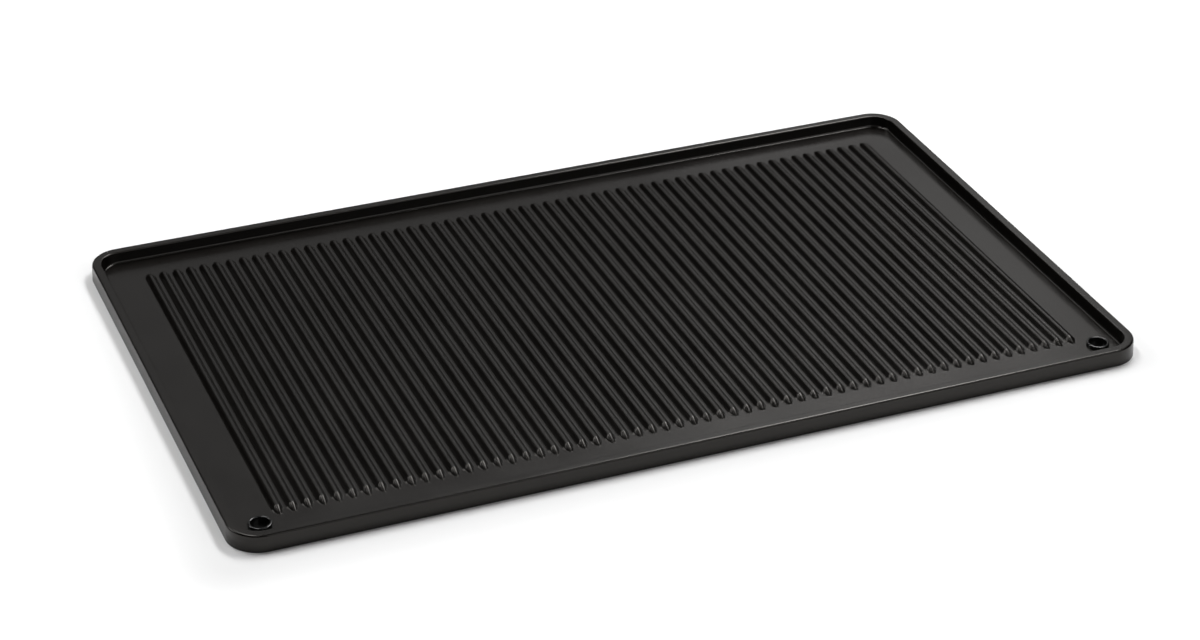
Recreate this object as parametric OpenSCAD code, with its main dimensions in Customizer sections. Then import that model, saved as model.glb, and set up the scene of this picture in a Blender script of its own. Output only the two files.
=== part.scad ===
// Camp griddle plate: a rectangular cast plate with a raised rim, a field of rounded ribs that run
// front to back, and two pin sockets set through the floor in the front corners.
// Millimetres. +X is to the right, +Y to the back, +Z up. The origin is the middle of the underside.

/* [Plate] */
// Length of the plate, left to right, at the underside
plate_length = 428; // [340:1:520]
// Width of the plate, front to back, at the underside
plate_width = 260; // [200:1:340]
// Height from the underside to the top of the rim
plate_height = 8; // [7:0.1:14]
// Radius of the four plan corners at the underside
corner_radius = 15; // [10:0.5:24]
// Thickness of the floor between the ribs
floor_thickness = 2.4; // [2:0.1:3.2]

/* [Rim] */
// Width of the rim at its top, before its edges are rounded
rim_width = 4.4; // [2.4:0.1:6]
// How far the outer wall leans in from the underside to the top
outer_draft = 0.5; // [0.1:0.1:1]
// How far the inner wall leans in from the top to the floor
inner_draft = 0.5; // [0.1:0.1:1]
// Rounding of the rim's outer top edge
outer_edge_radius = 1; // [0.3:0.1:1.4]
// Rounding of the rim's inner top edge
inner_edge_radius = 0.7; // [0.3:0.1:1.2]
// Rounding of the plate's bottom edge
bottom_edge_radius = 0.2; // [0.1:0.05:1]
// Fillet between the rim's inner wall and the floor
floor_fillet_radius = 1.2; // [0.4:0.1:2]

/* [Ribs] */
// Distance from one rib to the next
rib_pitch = 6.5; // [5:0.1:12]
// Height of the ribs above the floor
rib_height = 2.1; // [1.5:0.1:3]
// Width of a rib at the floor
rib_foot_width = 3.6; // [3.2:0.1:4.6]
// Radius of the rounded crest of a rib
rib_crest_radius = 1.25; // [0.8:0.05:1.4]
// Least distance from the plate's side edge to the middle of the outermost rib
rib_side_margin = 25; // [24:0.5:40]
// Distance from the plate's front and back edges to the ends of the ribs
rib_end_margin = 21; // [12:0.5:40]

/* [Pin sockets] */
// Diameter of a socket's bore
socket_bore = 8; // [5:0.1:8.6]
// Outer diameter of the collar that stands on the floor
collar_diameter = 10.4; // [10.2:0.1:12]
// Height of the collar above the floor
collar_height = 1.6; // [1.2:0.1:2.2]
// Rounding of the collar's outer top edge
collar_outer_radius = 0.55; // [0.1:0.05:0.6]
// Rounding of the collar's inner top edge
collar_inner_radius = 0.5; // [0.1:0.05:0.6]
// Thickness of the metal that closes the bottom of a socket
socket_bottom = 0.6; // [0.4:0.1:1]
// Wall of the spigot that passes through the floor
spigot_wall = 0.7; // [0.5:0.05:0.9]
// How far the peened foot spreads beyond the spigot
foot_spread = 0.8; // [0.4:0.1:1.2]
// Height of the peened foot's cone
foot_height = 0.8; // [0.4:0.1:1.2]
// How far the foot stays above the underside
foot_recess = 0.15; // [0.1:0.05:0.4]
// Gap around the spigot and its foot in the floor
spigot_clearance = 0.05; // [0.02:0.01:0.1]
// Distance from the plate's side edge to a socket's axis
socket_side_inset = 15.6; // [15:0.1:17]
// Distance from the plate's front edge to a socket's axis
socket_front_inset = 16.6; // [15:0.1:30]

/* [Hidden] */

$fn = 64;
coat_black = [0.13, 0.13, 0.125];
socket_black = [0.05, 0.05, 0.05];

// Straight steps in each rounded edge of an outline
arc_steps = 6;
// How far a rib's root goes into the floor
rib_root = 0.6;
// How far a cut runs past the face that it opens
cut_past = 1;
// Flat ring that stays on top of a collar between its two roundings
collar_flat = 0.1;

// The rim, in the plane of a corner: x runs outwards from the corner's centre, y is height
outer_lean = atan(outer_draft / plate_height);
recess_depth = plate_height - floor_thickness;
inner_lean = atan(inner_draft / recess_depth);
rim_inner_top = corner_radius - outer_draft - rim_width;
// Two edges share the rim's top, so neither rounding takes more than half of it
outer_round = min(outer_edge_radius, rim_width / 2);
inner_round = min(inner_edge_radius, rim_width / 2);

// The rib field is centred between the side margins and holds as many ribs as fit
rib_field = plate_length - 2 * rib_side_margin;
rib_count = floor(rib_field / rib_pitch) + 1;
rib_length = plate_width - 2 * rib_end_margin;
rib_straight = rib_length - rib_foot_width;
rib_crest_centre = rib_height - rib_crest_radius;

bore_radius = socket_bore / 2;
collar_radius = collar_diameter / 2;
collar_top = floor_thickness + collar_height;
// The collar's wall is thin, so neither of its roundings takes more than its half
collar_round_limit = (collar_radius - bore_radius - collar_flat) / 2;
collar_outer_round = min(collar_outer_radius, collar_round_limit);
collar_inner_round = min(collar_inner_radius, collar_round_limit);
spigot_radius = bore_radius + spigot_wall;
foot_radius = spigot_radius + foot_spread;
foot_top = foot_recess + foot_height;
bore_bottom = foot_recess + socket_bottom;
socket_x = plate_length / 2 - socket_side_inset;
socket_y = socket_front_inset - plate_width / 2;

// Points of an arc, from one angle to another
function arc(centre, radius, from, to) = [
    for (step = [0 : arc_steps])
        let (angle = from + (to - from) * step / arc_steps)
        centre + radius * [cos(angle), sin(angle)]
];

// Centre of a rounding that touches the outer wall, at a height; material lies inside the wall
function outer_centre(radius, height) = [
    corner_radius - (radius + height * sin(outer_lean)) / cos(outer_lean),
    height
];

// Centre of a rounding that touches the inner wall, at a height; side is 1 inside the metal, -1 in the recess
function inner_centre(radius, height, side) = [
    rim_inner_top + (side * radius - (plate_height - height) * sin(inner_lean)) / cos(inner_lean),
    height
];

// Cross-section of rim and floor, from the corner's centre out to the outer wall
module rim_section() {
    polygon(concat(
        [[0, 0]],
        arc(outer_centre(bottom_edge_radius, bottom_edge_radius), bottom_edge_radius, -90, outer_lean),
        arc(outer_centre(outer_round, plate_height - outer_round), outer_round, outer_lean, 90),
        arc(inner_centre(inner_round, plate_height - inner_round, 1), inner_round, 90, 180 - inner_lean),
        arc(
            inner_centre(floor_fillet_radius, floor_thickness + floor_fillet_radius, -1),
            floor_fillet_radius, -inner_lean, -90
        ),
        [[0, floor_thickness]]
    ));
}

// Rim along one straight side, facing +X
module rim_side(length) {
    rotate([90, 0, 0])
        linear_extrude(length, center = true)
            rim_section();
}

// Floor and rim: a middle slab, four straight sides and four quarter turns
module tray() {
    corner_x = plate_length / 2 - corner_radius;
    corner_y = plate_width / 2 - corner_radius;
    translate([-corner_x, -corner_y, 0])
        cube([2 * corner_x, 2 * corner_y, floor_thickness]);
    for (turn = [0, 180]) {
        rotate([0, 0, turn])
            translate([corner_x, 0, 0])
                rim_side(2 * corner_y);
        rotate([0, 0, turn + 90])
            translate([corner_y, 0, 0])
                rim_side(2 * corner_x);
        rotate([0, 0, turn])
            translate([corner_x, corner_y, 0])
                rotate_extrude(angle = 90)
                    rim_section();
        rotate([0, 0, turn])
            translate([-corner_x, corner_y, 0])
                rotate([0, 0, 90])
                    rotate_extrude(angle = 90)
                        rim_section();
    }
}

// Cross-section of a rib, with the floor at y = 0: flanks that run up into a round crest
module rib_section() {
    translate([0, rib_crest_centre])
        circle(rib_crest_radius);
    polygon([
        [-rib_foot_width / 2, -rib_root],
        [rib_foot_width / 2, -rib_root],
        [rib_foot_width / 2, 0],
        [rib_crest_radius * cos(45), rib_crest_centre + rib_crest_radius * sin(45)],
        [-rib_crest_radius * cos(45), rib_crest_centre + rib_crest_radius * sin(45)],
        [-rib_foot_width / 2, 0]
    ]);
}

// Right-hand half of a rib's cross-section, turned to make its rounded end
module rib_half_section() {
    intersection() {
        rib_section();
        translate([0, -rib_root])
            square([rib_foot_width, rib_root + rib_height]);
    }
}

// One rib along Y with its foot at z = 0
module rib() {
    rotate([90, 0, 0])
        linear_extrude(rib_straight, center = true)
            rib_section();
    for (end = [0, 1])
        rotate([0, 0, 180 * end])
            translate([0, rib_straight / 2, 0])
                rotate_extrude(angle = 180)
                    rib_half_section();
}

// All ribs, side by side on the floor
module rib_row() {
    for (i = [0 : rib_count - 1])
        translate([(i - (rib_count - 1) / 2) * rib_pitch, 0, floor_thickness])
            rib();
}

// Hole and countersink for one socket, cut from the underside
module socket_seat() {
    hole_radius = spigot_radius + spigot_clearance;
    cone_top = foot_top + spigot_clearance;
    mouth_radius = hole_radius + foot_spread * cone_top / foot_height;
    translate([0, 0, -cut_past])
        cylinder(r = hole_radius, h = floor_thickness + 2 * cut_past);
    cylinder(r1 = mouth_radius, r2 = hole_radius, h = cone_top);
}

// A socket about its own axis: a cup with a collar on the floor, a spigot through it and a peened foot
module pin_socket() {
    rotate_extrude()
        polygon(concat(
            [
                [0, foot_recess],
                [foot_radius, foot_recess],
                [spigot_radius, foot_top],
                [spigot_radius, floor_thickness],
                [collar_radius, floor_thickness]
            ],
            arc(
                [collar_radius - collar_outer_round, collar_top - collar_outer_round],
                collar_outer_round, 0, 90
            ),
            arc(
                [bore_radius + collar_inner_round, collar_top - collar_inner_round],
                collar_inner_round, 90, 180
            ),
            [[bore_radius, bore_bottom], [0, bore_bottom]]
        ));
}

module cast_plate() {
    color(coat_black)
        difference() {
            union() {
                tray();
                rib_row();
            }
            for (side = [-1, 1])
                translate([side * socket_x, socket_y, 0])
                    socket_seat();
        }
}

module left_pin_socket() {
    color(socket_black)
        translate([-socket_x, socket_y, 0])
            pin_socket();
}

module right_pin_socket() {
    color(socket_black)
        translate([socket_x, socket_y, 0])
            pin_socket();
}

cast_plate();
left_pin_socket();
right_pin_socket();
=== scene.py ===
import bpy
import bmesh
import math
from mathutils import Matrix, Quaternion, Vector


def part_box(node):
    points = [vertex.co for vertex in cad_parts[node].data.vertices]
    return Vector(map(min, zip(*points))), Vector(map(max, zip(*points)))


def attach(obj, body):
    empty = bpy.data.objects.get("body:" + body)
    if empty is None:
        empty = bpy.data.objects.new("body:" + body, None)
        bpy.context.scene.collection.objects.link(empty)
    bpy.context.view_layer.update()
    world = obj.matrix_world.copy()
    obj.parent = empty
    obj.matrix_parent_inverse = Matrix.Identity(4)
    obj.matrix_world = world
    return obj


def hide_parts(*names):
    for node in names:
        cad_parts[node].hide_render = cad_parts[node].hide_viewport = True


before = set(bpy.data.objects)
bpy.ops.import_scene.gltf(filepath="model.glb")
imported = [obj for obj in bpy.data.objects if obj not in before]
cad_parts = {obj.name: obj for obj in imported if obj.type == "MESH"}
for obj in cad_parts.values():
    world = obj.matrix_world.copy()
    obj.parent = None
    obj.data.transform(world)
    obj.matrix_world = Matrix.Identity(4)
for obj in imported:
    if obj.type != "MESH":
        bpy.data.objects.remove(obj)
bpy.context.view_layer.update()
mm = 0.001
weld = 0.001 * mm            # vertices closer than this are one
sameSpot = 0.0001 * mm       # closer than this counts as no distance
noiseSpan = (0.3, 0.7)       # where a noise texture's values mostly lie
scene = bpy.context.scene
print("frame loaded:", ", ".join(sorted(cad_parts)))


# small helpers

def linear(hexColour):  # sRGB hex to the linear RGBA that shaders take
    parts = [int(hexColour[i:i + 2], 16) / 255 for i in (1, 3, 5)]
    return tuple(c / 12.92 if c <= 0.04045 else ((c + 0.055) / 1.055) ** 2.4 for c in parts) + (1.0,)


def addNode(tree, kind, settings=None, inputs=None):  # an input is a value or the socket that feeds it
    node = tree.nodes.new(kind)
    for name, value in (settings or {}).items():
        setattr(node, name, value)
    for name, value in (inputs or {}).items():
        if isinstance(value, bpy.types.NodeSocket):
            tree.links.new(value, node.inputs[name])
        else:
            node.inputs[name].default_value = value
    return node


def newMaterial(name):
    material = bpy.data.materials.new(name)
    material.use_nodes = True
    material.node_tree.nodes.clear()
    return material, material.node_tree


def only(kind, geom):  # the vertices, edges or faces of an operator's result
    return [g for g in geom if isinstance(g, kind)]


# Draws an open section in the XZ plane: a pair is a straight run to that point,
# three numbers are an arc about the centre (x, z) by that many degrees, positive from Z towards X.
def drawSection(bm, start, moves, arcSteps):
    tip = bm.verts.new((start[0], 0, start[1]))
    for move in moves:
        if len(move) == 2:
            tip = bmesh.ops.extrude_vert_indiv(bm, verts=[tip])["verts"][0]
            tip.co = (move[0], 0, move[1])
        else:
            arc = bmesh.ops.spin(bm, geom=[tip], cent=(move[0], 0, move[1]), axis=(0, 1, 0),
                                 angle=math.radians(move[2]), steps=arcSteps)
            tip = only(bmesh.types.BMVert, arc["geom_last"])[0]
    return bm.edges[:]


def openEdgesAt(bm, height):  # the open edges on one level
    return [e for e in bm.edges
            if e.is_boundary and all(abs(v.co.z - height) < sameSpot for v in e.verts)]


def finishPiece(name, bm, material, node, sharpAngle):
    bmesh.ops.remove_doubles(bm, verts=bm.verts[:], dist=weld)
    bmesh.ops.dissolve_degenerate(bm, edges=bm.edges[:], dist=sameSpot)
    bmesh.ops.recalc_face_normals(bm, faces=bm.faces[:])
    for edge in bm.edges:
        edge.smooth = edge.calc_face_angle(0) < math.radians(sharpAngle)
    for face in bm.faces:
        face.smooth = True
    openEdges = sum(not e.is_manifold for e in bm.edges)
    mesh = bpy.data.meshes.new(name)
    bm.to_mesh(mesh)
    bm.free()
    mesh.materials.append(material)
    piece = bpy.data.objects.new(name, mesh)
    scene.collection.objects.link(piece)
    normals = piece.modifiers.new("flatFacesStayFlat", "WEIGHTED_NORMAL")
    normals.keep_sharp = True
    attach(piece, "root")
    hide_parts(node)
    print(f"{name}: {len(mesh.polygons)} faces, {openEdges} open edges")


# Die-cast aluminium with a sprayed, baked black non-stick coat. The eye gets a warm near-black with a satin
# skin: soft broad reflections, a faint orange peel from the spray and no metal showing.
coat = {
    "colour": "#090706",
    "thinColour": "#0b0907",    # where the spray lies a little thinner
    "roughness": (0.21, 0.27),
    "ior": 1.42,
    "sheen": "#fffaf4",         # reflections come back a little warm
    "patchSize": 30 * mm,       # slow drift of the spray
    "patchDetail": 3.0,
    "peelSize": 1.6 * mm,       # real peel is about 0.3 mm, drawn coarser so that it shows
    "peelHeight": 0.004 * mm,
    "peelDetail": 2.0,
    "flowSize": 22 * mm,        # shallow waves left by the die
    "flowHeight": 0.03 * mm,
    "flowDetail": 1.0,
}


def coatedAluminium():
    material, tree = newMaterial("black non-stick coat on die-cast aluminium")
    place = addNode(tree, "ShaderNodeTexCoord").outputs["Object"]
    drift = addNode(tree, "ShaderNodeTexNoise", inputs={
        "Vector": place, "Scale": 1 / coat["patchSize"], "Detail": coat["patchDetail"]})
    shade = addNode(tree, "ShaderNodeMix", {"data_type": "RGBA"}, {"Factor": drift.outputs["Fac"]})
    # the mix node's colour sockets share their names with others, so they go by number: 6, 7 and output 2
    shade.inputs[6].default_value = linear(coat["colour"])
    shade.inputs[7].default_value = linear(coat["thinColour"])
    satin = addNode(tree, "ShaderNodeMapRange", inputs={
        "Value": drift.outputs["Fac"], "From Min": noiseSpan[0], "From Max": noiseSpan[1],
        "To Min": coat["roughness"][0], "To Max": coat["roughness"][1]})
    flow = addNode(tree, "ShaderNodeTexNoise", inputs={
        "Vector": place, "Scale": 1 / coat["flowSize"], "Detail": coat["flowDetail"]})
    waves = addNode(tree, "ShaderNodeBump", inputs={
        "Height": flow.outputs["Fac"], "Distance": coat["flowHeight"], "Strength": 1.0})
    peel = addNode(tree, "ShaderNodeTexNoise", inputs={
        "Vector": place, "Scale": 1 / coat["peelSize"], "Detail": coat["peelDetail"]})
    skin = addNode(tree, "ShaderNodeBump", inputs={
        "Height": peel.outputs["Fac"], "Distance": coat["peelHeight"], "Strength": 1.0,
        "Normal": waves.outputs["Normal"]})
    surface = addNode(tree, "ShaderNodeBsdfPrincipled", inputs={
        "Base Color": shade.outputs[2], "Roughness": satin.outputs["Result"], "IOR": coat["ior"],
        "Specular Tint": linear(coat["sheen"]), "Normal": skin.outputs["Normal"]})
    addNode(tree, "ShaderNodeOutputMaterial", inputs={"Surface": surface.outputs["BSDF"]})
    return material


# Turned steel with a hard black enamel. The eye gets a deep black ring with small sharp highlights.
enamel = {
    "colour": "#0d0d0d",
    "roughness": (0.12, 0.2),
    "ior": 1.52,
    "smearSize": 2 * mm,        # patches where the enamel dried a little duller
    "smearDetail": 2.0,
}


def blackEnamel():
    material, tree = newMaterial("black enamel on turned steel")
    place = addNode(tree, "ShaderNodeTexCoord").outputs["Object"]
    smear = addNode(tree, "ShaderNodeTexNoise", inputs={
        "Vector": place, "Scale": 1 / enamel["smearSize"], "Detail": enamel["smearDetail"]})
    gloss = addNode(tree, "ShaderNodeMapRange", inputs={
        "Value": smear.outputs["Fac"], "From Min": noiseSpan[0], "From Max": noiseSpan[1],
        "To Min": enamel["roughness"][0], "To Max": enamel["roughness"][1]})
    surface = addNode(tree, "ShaderNodeBsdfPrincipled", inputs={
        "Base Color": linear(enamel["colour"]), "Roughness": gloss.outputs["Result"],
        "IOR": enamel["ior"]})
    addNode(tree, "ShaderNodeOutputMaterial", inputs={"Surface": surface.outputs["BSDF"]})
    return material


# The casting: rim swept round the outline, then ribs, seats for the sockets, floor and underside
plate = {
    "cornerRadius": 15 * mm,
    "floor": 2.4 * mm,
    "rimWidth": 4.4 * mm,
    "outerDraft": 0.5 * mm,
    "innerDraft": 0.5 * mm,
    "outerRound": 1.0 * mm,
    "innerRound": 0.7 * mm,
    "bottomRound": 0.2 * mm,
    "floorFillet": 1.2 * mm,
    "floorEdge": 8 * mm,        # where the swept strip hands over to the flat floor, in from the outline
    "bottomEdge": 2 * mm,       # the same for the underside
    "arcSteps": 8,
    "cornerSteps": 24,
    "seatSteps": 48,
    "sharpAngle": 35,           # degrees from which an edge stays crisp
}
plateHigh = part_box("cast_plate")[1]
halfLength = plateHigh.x
halfWidth = plateHigh.y
topHeight = plateHigh.z


def rimSection(bm):
    radius = plate["cornerRadius"]
    outerLean = math.degrees(math.atan2(plate["outerDraft"], topHeight))
    innerLean = math.degrees(math.atan2(plate["innerDraft"], topHeight - plate["floor"]))

    def outerCentre(rounding, z):  # centre of a rounding inside the outer wall
        a = math.radians(outerLean)
        return radius - (rounding + z * math.sin(a)) / math.cos(a)

    def innerCentre(rounding, z, side):  # side 1 is in the metal, -1 in the recess
        a = math.radians(innerLean)
        top = radius - plate["outerDraft"] - plate["rimWidth"]
        return top + (side * rounding - (topHeight - z) * math.sin(a)) / math.cos(a)

    bottom = plate["bottomRound"]
    outer = plate["outerRound"]
    inner = plate["innerRound"]
    fillet = plate["floorFillet"]
    bottomX = outerCentre(bottom, bottom)
    outerX = outerCentre(outer, topHeight - outer)
    innerX = innerCentre(inner, topHeight - inner, 1)
    filletX = innerCentre(fillet, plate["floor"] + fillet, -1)
    outerTilt = math.radians(outerLean)
    innerTilt = math.radians(innerLean)
    return drawSection(bm, (radius - plate["bottomEdge"], 0), [
        (bottomX, 0),
        (bottomX, bottom, -90 - outerLean),
        (outerX + outer * math.cos(outerTilt), topHeight - outer + outer * math.sin(outerTilt)),
        (outerX, topHeight - outer, -90 + outerLean),
        (innerX, topHeight),
        (innerX, topHeight - inner, -90 + innerLean),
        (filletX + fillet * math.cos(innerTilt), plate["floor"] + fillet - fillet * math.sin(innerTilt)),
        (filletX, plate["floor"] + fillet, 90 - innerLean),
        (radius - plate["floorEdge"], plate["floor"]),
    ], plate["arcSteps"])


def sweepRim(bm):  # a quarter turn at each corner, then a straight run to the next
    cornerX = halfLength - plate["cornerRadius"]
    cornerY = halfWidth - plate["cornerRadius"]
    corners = [Vector((x, y, 0)) for x, y in
               ((cornerX, cornerY), (-cornerX, cornerY), (-cornerX, -cornerY), (cornerX, -cornerY))]
    edges = rimSection(bm)
    bmesh.ops.translate(bm, verts=bm.verts[:], vec=corners[0])
    for corner, following in zip(corners, corners[1:] + corners[:1]):
        turn = bmesh.ops.spin(bm, geom=edges, cent=corner, axis=(0, 0, 1), angle=math.pi / 2,
                              steps=plate["cornerSteps"])
        run = bmesh.ops.extrude_edge_only(bm, edges=only(bmesh.types.BMEdge, turn["geom_last"]))
        moved = set(only(bmesh.types.BMVert, run["geom"]))
        bmesh.ops.translate(bm, verts=list(moved), vec=following - corner)
        edges = [e for e in only(bmesh.types.BMEdge, run["geom"]) if moved.issuperset(e.verts)]
    bmesh.ops.remove_doubles(bm, verts=bm.verts[:], dist=weld)


# The ribs: one rounded bar, copied along the plate
rib = {
    "pitch": 6.5 * mm,
    "sideMargin": 25 * mm,
    "endMargin": 21 * mm,
    "height": 2.1 * mm,
    "crestRadius": 1.6 * mm,
    "flankLean": 35,            # degrees from upright
    "rootRadius": 1.5 * mm,
    "skirt": 0.1 * mm,          # flat ring that keeps the fillet's shading off the floor
    "endSlope": 28,             # degrees that the ends run down to the floor at
    "endBrow": 0.4,             # rounds the bend from the crest to the end's slope
    "endRoot": 0.15,            # share of the foot's fillet that is left at the very tip
    "endNarrowing": 10,         # even power, how soon the fillet narrows on the way to the tip
    "arcSteps": 6,
    "endSteps": 28,
}


def ribForm():  # one rib on the floor at x = 0, open underneath
    bm = bmesh.new()
    lean = math.radians(rib["flankLean"])
    crest = rib["crestRadius"]
    root = rib["rootRadius"]
    crestZ = plate["floor"] + rib["height"] - crest
    rootZ = plate["floor"] + root
    flankTop = Vector((crest * math.cos(lean), crestZ + crest * math.sin(lean)))
    flankFootZ = rootZ - root * math.sin(lean)
    flankFootX = flankTop.x + (flankTop.y - flankFootZ) * math.tan(lean)
    rootX = flankFootX + root * math.cos(lean)
    section = drawSection(bm, (0, crestZ + crest), [
        (0, crestZ, 90 - rib["flankLean"]),
        (flankFootX, flankFootZ),
        (rootX, rootZ, -90 + rib["flankLean"]),
        (rootX + rib["skirt"], plate["floor"]),
    ], rib["arcSteps"])
    slope = math.tan(math.radians(rib["endSlope"]))
    endLength = rib["height"] / slope + rib["endBrow"] * flankFootX + rib["skirt"]
    endCentre = halfWidth - rib["endMargin"] - endLength
    bmesh.ops.translate(bm, verts=bm.verts[:], vec=(0, endCentre, 0))
    turn = bmesh.ops.spin(bm, geom=section, cent=(0, endCentre, 0), axis=(0, 0, 1), angle=math.pi,
                          steps=rib["endSteps"])
    for vert in bm.verts:  # the round end becomes a ridge that runs straight down to the floor
        out = Vector((vert.co.x, vert.co.y - endCentre))
        reach = out.length
        if reach > sameSpot:
            sideways, forwards = out / reach
            keep = rib["endRoot"] + (1 - rib["endRoot"]) * sideways ** rib["endNarrowing"]
            across = min(reach, flankFootX) + max(reach - flankFootX, 0) * keep
            along = (crestZ + crest - vert.co.z) / slope + rib["endBrow"] * min(reach, flankFootX)
            along += max(reach - rootX, 0)
            vert.co.xy = (across * sideways, endCentre + along * forwards)
    sides = section + only(bmesh.types.BMEdge, turn["geom_last"])
    run = bmesh.ops.extrude_edge_only(bm, edges=sides)
    bmesh.ops.translate(bm, verts=only(bmesh.types.BMVert, run["geom"]), vec=(0, -endCentre, 0))
    bmesh.ops.mirror(bm, geom=bm.verts[:] + bm.edges[:] + bm.faces[:], axis="Y", merge_dist=weld)
    bmesh.ops.remove_doubles(bm, verts=bm.verts[:], dist=weld)
    form = bpy.data.meshes.new("rib form")
    bm.to_mesh(form)
    bm.free()
    return form


def setRibs(bm):
    form = ribForm()
    count = math.floor(2 * (halfLength - rib["sideMargin"]) / rib["pitch"]) + 1
    for i in range(count):
        others = set(bm.verts)
        bm.from_mesh(form)
        bmesh.ops.translate(bm, verts=[v for v in bm.verts if v not in others],
                            vec=((i - (count - 1) / 2) * rib["pitch"], 0, 0))
    bpy.data.meshes.remove(form)
    print("ribs set:", count)


# The pin sockets: turned cups, each held in a countersunk seat in the floor
socket = {
    "bore": 4.0 * mm,
    "bottom": 0.6 * mm,         # closed end of the cup
    "collarRadius": 5.2 * mm,
    "collarHeight": 1.6 * mm,
    "outerRound": 0.55 * mm,
    "innerRound": 0.5 * mm,
    "spigotRadius": 4.7 * mm,
    "footRadius": 5.5 * mm,
    "footHeight": 0.8 * mm,
    "footRecess": 0.15 * mm,
    "clearance": 0.05 * mm,
    "arcSteps": 8,
    "turnSteps": 96,
    "sharpAngle": 35,
}
socketMiddle = {side: sum(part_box(side + "_pin_socket"), Vector()) / 2 for side in ("left", "right")}


def sinkSeat(bm, middle):  # hole through the floor with a countersink below, open at both faces
    hole = socket["spigotRadius"] + socket["clearance"]
    coneTop = socket["footRecess"] + socket["footHeight"] + socket["clearance"]
    slope = (socket["footRadius"] - socket["spigotRadius"]) / socket["footHeight"]
    levels = [(hole, plate["floor"]), (hole, coneTop), (hole + slope * coneTop, 0)]
    rings = []
    for radius, z in levels:
        ring = bmesh.ops.create_circle(bm, segments=plate["seatSteps"], radius=radius,
                                       matrix=Matrix.Translation((middle.x, middle.y, z)))
        rings.append({e for v in ring["verts"] for e in v.link_edges})
    for upper, lower in zip(rings, rings[1:]):
        bmesh.ops.bridge_loops(bm, edges=list(upper | lower))


def castPlate(material):
    bm = bmesh.new()
    sweepRim(bm)
    setRibs(bm)
    for middle in socketMiddle.values():
        sinkSeat(bm, middle)
    for height in (plate["floor"], 0):  # floor between the ribs, then the underside
        bmesh.ops.triangle_fill(bm, edges=openEdgesAt(bm, height), use_beauty=True)
    finishPiece("griddle_plate", bm, material, "cast_plate", plate["sharpAngle"])


def turnedSocket(side, material):  # a cup: peened foot, spigot, collar with a rounded lip, bore
    bm = bmesh.new()
    top = plate["floor"] + socket["collarHeight"]
    footTop = socket["footRecess"] + socket["footHeight"]
    boreBottom = socket["footRecess"] + socket["bottom"]
    outer = socket["outerRound"]
    inner = socket["innerRound"]
    section = drawSection(bm, (0, socket["footRecess"]), [
        (socket["footRadius"], socket["footRecess"]),
        (socket["spigotRadius"], footTop),
        (socket["spigotRadius"], plate["floor"]),
        (socket["collarRadius"], plate["floor"]),
        (socket["collarRadius"], top - outer),
        (socket["collarRadius"] - outer, top - outer, -90),
        (socket["bore"] + inner, top),
        (socket["bore"] + inner, top - inner, -90),
        (socket["bore"], boreBottom),
        (0, boreBottom),
    ], socket["arcSteps"])
    bmesh.ops.spin(bm, geom=section, cent=(0, 0, 0), axis=(0, 0, 1), angle=2 * math.pi,
                   steps=socket["turnSteps"], use_merge=True)
    middle = socketMiddle[side]
    bmesh.ops.translate(bm, verts=bm.verts[:], vec=(middle.x, middle.y, 0))
    finishPiece(side + "_collar", bm, material, side + "_pin_socket", socket["sharpAngle"])


castPlate(coatedAluminium())
enamelBlack = blackEnamel()
for side in ("left", "right"):
    turnedSocket(side, enamelBlack)


# Studio: white table, two bright strips overhead, a dim box and panels behind,
# soft lamps on the left and in front
studio = {
    "table": "#fcfcfc",
    "tableSize": 12.0,
    "tableGlow": 0.35,          # away from the plate, seen by the camera and in reflections only
    "glowReach": (5 * mm, 48 * mm),  # how far out from the plate it starts and is full
    "room": 0.02,               # dim grey all round
    "roomFront": 0.2,           # in front, seen in reflections only
    "roomFrontFull": -0.6,      # Y of the directions from which that is full
    "lamps": [                  # name, place, aim, width, height, watts
        ("back box", (1.02, 1.56, 1.28), (0, 0, 0), 0.58, 1.01, 1.7),
        ("low panel", (2.1, 2.5, 0.3), (0, 0, 0.3), 1.0, 0.5, 0.95),
        ("back panel", (0.17, 2.07, 0.95), (0, 0, 0), 1.48, 0.88, 1.4),
        ("back ceiling", (0.2, 1.9, 1.8), (0.2, 1.9, 0), 1.5, 0.4, 3.2),
        ("right strip", (0.83, 0.69, 1.5), (0.83, 0.69, 0), 0.46, 1.18, 26.5),
        ("left strip", (-0.38, 0.74, 1.8), (-0.38, 0.74, 0), 0.22, 1.28, 15.0),
        ("left key", (-1.52, 0.93, 1.29), (0, 0, 0), 0.82, 0.62, 7.4),
        ("front fill", (0.9, -1.56, 1.26), (0, 0, 0), 2.0, 1.18, 8.0),
    ],
}


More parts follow.
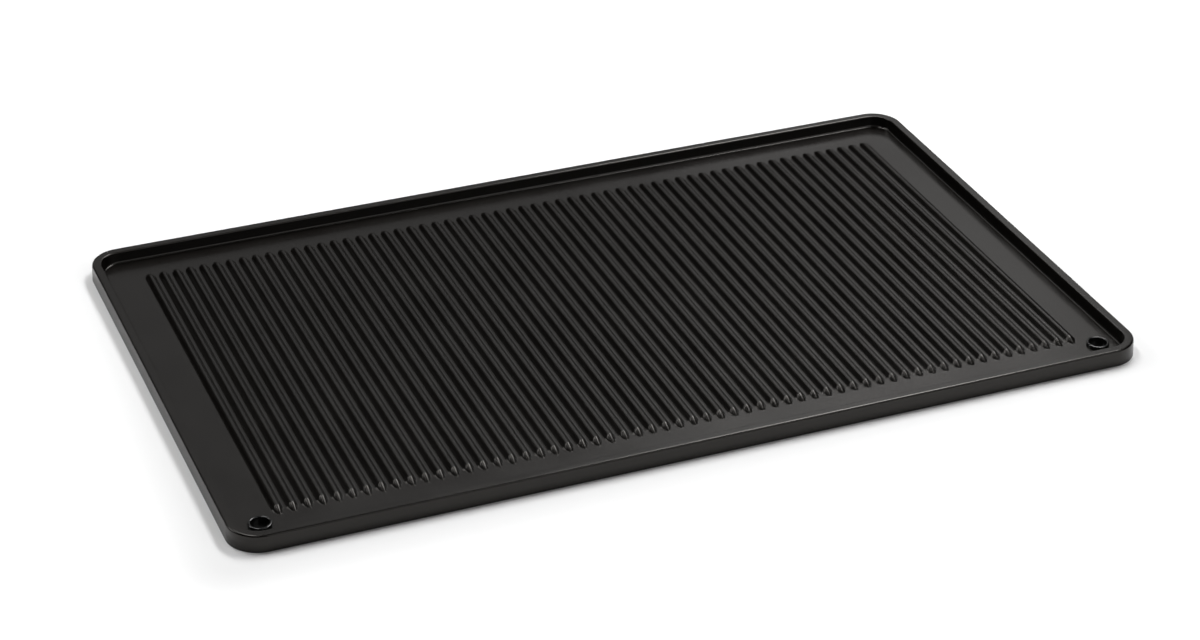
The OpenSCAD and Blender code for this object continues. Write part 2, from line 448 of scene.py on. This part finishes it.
def layTable():
    bm = bmesh.new()
    bmesh.ops.create_grid(bm, x_segments=1, y_segments=1, size=studio["tableSize"] / 2)
    mesh = bpy.data.meshes.new("table")
    bm.to_mesh(mesh)
    bm.free()
    material, tree = newMaterial("matt white table top")
    lit = addNode(tree, "ShaderNodeBsdfDiffuse", inputs={"Color": linear(studio["table"])})
    spot = addNode(tree, "ShaderNodeTexCoord").outputs["Object"]
    quarter = addNode(tree, "ShaderNodeVectorMath", {"operation": "ABSOLUTE"}, {"Vector": spot})
    beyond = addNode(tree, "ShaderNodeVectorMath", {"operation": "SUBTRACT"},
                     {"Vector": quarter.outputs["Vector"]})
    beyond.inputs[1].default_value = (halfLength, halfWidth, 0)
    outside = addNode(tree, "ShaderNodeVectorMath", {"operation": "MAXIMUM"},
                      {"Vector": beyond.outputs["Vector"]})
    away = addNode(tree, "ShaderNodeVectorMath", {"operation": "LENGTH"},
                   {"Vector": outside.outputs["Vector"]})
    level = addNode(tree, "ShaderNodeMapRange", {"interpolation_type": "SMOOTHSTEP"}, {
        "Value": away.outputs["Value"], "To Min": 0, "To Max": studio["tableGlow"],
        "From Min": studio["glowReach"][0], "From Max": studio["glowReach"][1]})
    glow = addNode(tree, "ShaderNodeEmission", inputs={"Strength": level.outputs["Result"]})
    whole = addNode(tree, "ShaderNodeAddShader")
    tree.links.new(lit.outputs["BSDF"], whole.inputs[0])
    tree.links.new(glow.outputs["Emission"], whole.inputs[1])
    path = addNode(tree, "ShaderNodeLightPath")
    seen = addNode(tree, "ShaderNodeMath", {"operation": "MAXIMUM"})
    tree.links.new(path.outputs["Is Camera Ray"], seen.inputs[0])
    tree.links.new(path.outputs["Is Glossy Ray"], seen.inputs[1])
    either = addNode(tree, "ShaderNodeMath", {"operation": "MAXIMUM"})
    tree.links.new(seen.outputs["Value"], either.inputs[0])
    tree.links.new(path.outputs["Is Transmission Ray"], either.inputs[1])
    pick = addNode(tree, "ShaderNodeMixShader", inputs={"Fac": either.outputs["Value"]})
    tree.links.new(lit.outputs["BSDF"], pick.inputs[1])
    tree.links.new(whole.outputs["Shader"], pick.inputs[2])
    addNode(tree, "ShaderNodeOutputMaterial", inputs={"Surface": pick.outputs["Shader"]})
    mesh.materials.append(material)
    table = bpy.data.objects.new("table", mesh)
    scene.collection.objects.link(table)


def hangLamp(name, place, aim, width, height, watts):
    light = bpy.data.lights.new(name, "AREA")
    light.shape = "RECTANGLE"
    light.size = width
    light.size_y = height
    light.energy = watts
    lamp = bpy.data.objects.new(name, light)
    scene.collection.objects.link(lamp)
    lamp.location = place
    lamp.rotation_euler = (Vector(aim) - Vector(place)).to_track_quat("-Z", "Y").to_euler()


def dimRoom():  # dark behind the table, paler in front, which only shows in reflections seen from behind
    world = bpy.data.worlds.new("grey room")
    world.use_nodes = True
    tree = world.node_tree
    tree.nodes.clear()
    path = addNode(tree, "ShaderNodeLightPath")
    front = addNode(tree, "ShaderNodeMapRange", inputs={
        "Value": path.outputs["Is Glossy Ray"], "To Min": studio["room"], "To Max": studio["roomFront"]})
    way = addNode(tree, "ShaderNodeTexCoord").outputs["Generated"]
    parts = addNode(tree, "ShaderNodeSeparateXYZ", inputs={"Vector": way})
    strength = addNode(tree, "ShaderNodeMapRange", inputs={
        "Value": parts.outputs["Y"], "From Min": 0, "From Max": studio["roomFrontFull"],
        "To Min": studio["room"], "To Max": front.outputs["Result"]})
    grey = addNode(tree, "ShaderNodeBackground", inputs={"Strength": strength.outputs["Result"]})
    addNode(tree, "ShaderNodeOutputWorld", inputs={"Surface": grey.outputs["Background"]})
    scene.world = world


layTable()
dimRoom()
for lamp in studio["lamps"]:
    hangLamp(*lamp)
print("studio lit:", len(studio["lamps"]), "lamps")


# Camera: place, aim and lens that put the plate's edges where the photograph has them
view = {
    "place": Vector((-443.5, -1082.5, 682.0)) * mm,
    "aim": Vector((-3.5, -5.7, 0)) * mm,
    "roll": 0.39,               # degrees about the line of sight
    "lens": 87.05,              # lens and sensor width in millimetres
    "sensor": 36,
}
lens = bpy.data.cameras.new("camera")
lens.sensor_fit = "HORIZONTAL"
lens.sensor_width = view["sensor"]
lens.lens = view["lens"]
camera = bpy.data.objects.new("camera", lens)
scene.collection.objects.link(camera)
level = (view["aim"] - view["place"]).to_track_quat("-Z", "Y")
camera.rotation_mode = "QUATERNION"
camera.rotation_quaternion = level @ Quaternion((0, 0, 1), math.radians(view["roll"]))
camera.location = view["place"]
scene.camera = camera
scene.view_settings.view_transform = "Standard"
